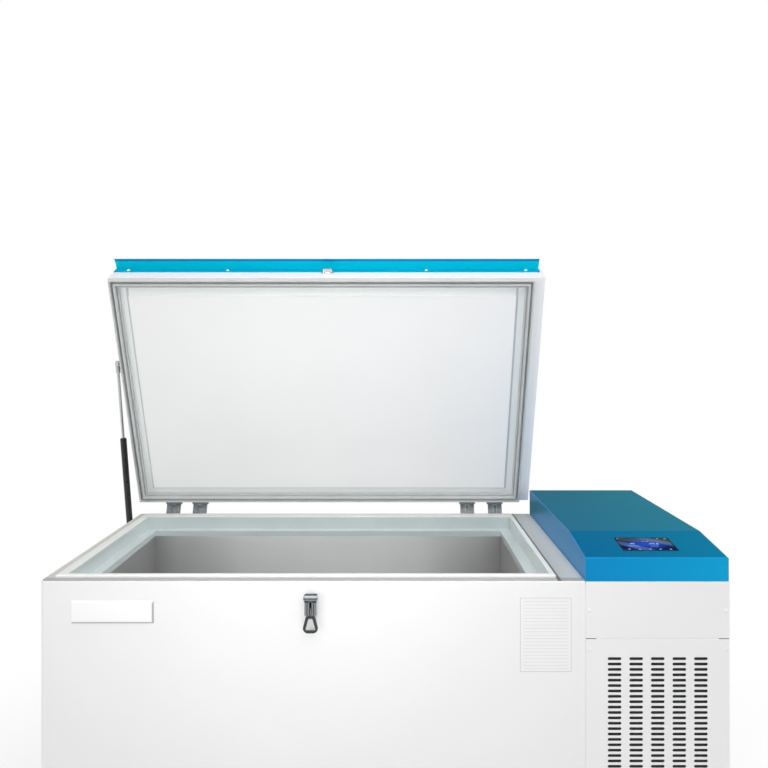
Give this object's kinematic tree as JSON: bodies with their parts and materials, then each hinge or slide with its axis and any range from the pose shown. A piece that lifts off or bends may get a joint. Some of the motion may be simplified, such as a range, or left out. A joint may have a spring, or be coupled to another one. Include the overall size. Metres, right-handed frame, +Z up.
{
  "type": "ultra low temperature freezer",
  "caption": "Horizontal ultra low temperature chest freezer with a lid on a gas spring and a machine section with a touch panel at its side.",
  "frame": {"origin": "on the floor, below the middle of the whole freezer's bounding box, with the lid open", "axes": "+Z up; -Y towards the front, where the latch and the air grille are; +X to the right, where the machine section is"},
  "size_m": [1.524, 0.8079, 1.7177],
  "materials": {
    "white_enamel": "satin",
    "blue_enamel": "gloss",
    "grey_enamel": "satin",
    "black_enamel": "satin",
    "galvanised_steel": "satin",
    "stainless_steel": "satin",
    "zinc_plate": "satin",
    "chrome_plate": "polished",
    "copper": "satin",
    "fin_aluminium": "satin",
    "collar_plastic": "satin",
    "white_plastic": "satin",
    "grey_plastic": "satin",
    "black_plastic": "satin",
    "seal_rubber": "matte",
    "gasket_rubber": "matte",
    "caster_rubber": "matte",
    "touch_glass": "gloss",
    "rigid_foam": "matte"
  },
  "bodies": {
    "cabinet": {"cabinet_wrap": "white_enamel", "cabinet_back_panel": "white_enamel", "cabinet_bottom_pan": "galvanised_steel", "cabinet_foam": "rigid_foam", "inner_liner": "stainless_steel", "throat_collar": "collar_plastic", "rim_frame": "white_plastic", "rim_seal": "seal_rubber", "evaporator_coil": "copper", "hinge_lower_leaves": "chrome_plate", "gas_spring_cabinet_stud": "zinc_plate", "latch_base": "chrome_plate", "machine_floor": "galvanised_steel", "machine_frame": "galvanised_steel", "upper_front_panel": "white_enamel", "front_grille_panel": "white_enamel", "right_side_panel": "white_enamel", "machine_back_panel": "white_enamel", "power_entry_panel": "white_enamel", "machine_cover": "blue_enamel", "display_bezel": "black_plastic", "display_module": "touch_glass", "compressor_high_stage": "black_enamel", "compressor_low_stage": "black_enamel", "compressor_grommets": "seal_rubber", "condenser": "fin_aluminium", "fan_shroud": "galvanised_steel", "fan_motor": "black_enamel", "heat_exchanger": "seal_rubber", "expansion_tank": "black_enamel", "filter_driers": "copper", "refrigerant_tubes": "copper", "control_box": "grey_plastic", "power_inlet": "black_plastic", "power_switch": "black_plastic", "base_frame": "grey_enamel", "levelling_feet": "zinc_plate", "caster_mounts": "zinc_plate"},
    "lid": {"lid_shell": "white_enamel", "lid_foam": "rigid_foam", "lid_inner_panel": "white_plastic", "lid_gasket": "gasket_rubber", "lid_handle_trim": "blue_enamel", "lid_catch": "chrome_plate", "hinge_upper_leaves": "chrome_plate", "gas_spring_lid_stud": "zinc_plate"},
    "gas_spring_tube": {"gas_spring_cylinder": "black_enamel"},
    "gas_spring_piston": {"gas_spring_rod": "chrome_plate"},
    "latch_swing": {"latch_yoke": "chrome_plate"},
    "latch_pull": {"latch_ring": "chrome_plate"},
    "fan": {"fan_blades": "fin_aluminium"},
    "rocker": {"power_switch_rocker": "black_plastic"},
    "caster_swivel_front_left": {"caster_fork_front_left": "zinc_plate"},
    "caster_roll_front_left": {"caster_wheel_front_left": "caster_rubber"},
    "caster_swivel_front_right": {"caster_fork_front_right": "zinc_plate"},
    "caster_roll_front_right": {"caster_wheel_front_right": "caster_rubber"},
    "caster_swivel_back_left": {"caster_fork_back_left": "zinc_plate"},
    "caster_roll_back_left": {"caster_wheel_back_left": "caster_rubber"},
    "caster_swivel_back_right": {"caster_fork_back_right": "zinc_plate"},
    "caster_roll_back_right": {"caster_wheel_back_right": "caster_rubber"}
  },
  "joints": [
    {"name": "lid_hinge", "type": "hinge", "parent": "cabinet", "child": "lid", "pos_m": [-0.1475, 0.34792, 0.996], "axis": [-1, 0, 0], "range_deg": [-66.5, 0], "stiffness_Nm_per_rad": 31, "springref_deg": 53.57},
    {"name": "gas_spring_swing", "type": "hinge", "parent": "cabinet", "child": "gas_spring_tube", "pos_m": [-0.753, 0.29973, 0.841], "axis": [-1, 0, 0], "range_deg": [-56.72, 0.5]},
    {"name": "gas_spring_stroke", "type": "slide", "parent": "gas_spring_tube", "child": "gas_spring_piston", "axis": [0, -0.2213, 0.9752], "range_m": [-0.15385, 0.002]},
    {"name": "latch_swing", "type": "hinge", "parent": "cabinet", "child": "latch_swing", "pos_m": [-0.148, -0.39758, 0.932], "axis": [-1, 0, 0], "range_deg": [-4, 178]},
    {"name": "latch_pull", "type": "slide", "parent": "latch_swing", "child": "latch_pull", "axis": [0, 0, -1], "range_m": [0, 0.024], "stiffness_N_per_m": 600, "springref_m": -0.02},
    {"name": "fan_spin", "type": "hinge", "parent": "cabinet", "child": "fan", "pos_m": [0.6055, -0.27743, 0.2725], "axis": [0, -1, 0], "continuous": true},
    {"name": "switch_rock", "type": "hinge", "parent": "cabinet", "child": "rocker", "pos_m": [0.508, 0.32593, 0.24], "axis": [1, 0, 0], "range_deg": [-14, 0]},
    {"name": "caster_swivel_front_left", "type": "hinge", "parent": "cabinet", "child": "caster_swivel_front_left", "pos_m": [-0.653, -0.32107, 0.0855], "axis": [0, 0, 1], "continuous": true},
    {"name": "caster_roll_front_left", "type": "hinge", "parent": "caster_swivel_front_left", "child": "caster_roll_front_left", "pos_m": [-0.653, -0.29507, 0.0375], "axis": [1, 0, 0], "continuous": true},
    {"name": "caster_swivel_front_right", "type": "hinge", "parent": "cabinet", "child": "caster_swivel_front_right", "pos_m": [0.677, -0.32107, 0.0855], "axis": [0, 0, 1], "continuous": true},
    {"name": "caster_roll_front_right", "type": "hinge", "parent": "caster_swivel_front_right", "child": "caster_roll_front_right", "pos_m": [0.677, -0.29507, 0.0375], "axis": [1, 0, 0], "continuous": true},
    {"name": "caster_swivel_back_left", "type": "hinge", "parent": "cabinet", "child": "caster_swivel_back_left", "pos_m": [-0.653, 0.26593, 0.0855], "axis": [0, 0, 1], "continuous": true},
    {"name": "caster_roll_back_left", "type": "hinge", "parent": "caster_swivel_back_left", "child": "caster_roll_back_left", "pos_m": [-0.653, 0.29192, 0.0375], "axis": [1, 0, 0], "continuous": true},
    {"name": "caster_swivel_back_right", "type": "hinge", "parent": "cabinet", "child": "caster_swivel_back_right", "pos_m": [0.677, 0.26593, 0.0855], "axis": [0, 0, 1], "continuous": true},
    {"name": "caster_roll_back_right", "type": "hinge", "parent": "caster_swivel_back_right", "child": "caster_roll_back_right", "pos_m": [0.677, 0.29192, 0.0375], "axis": [1, 0, 0], "continuous": true}
  ],
  "couplings": [
    {"joint": "gas_spring_swing", "follows": "lid_hinge", "ratio": 0.84543},
    {"joint": "gas_spring_stroke", "follows": "lid_hinge", "m_per_rad": 0.13083}
  ]
}
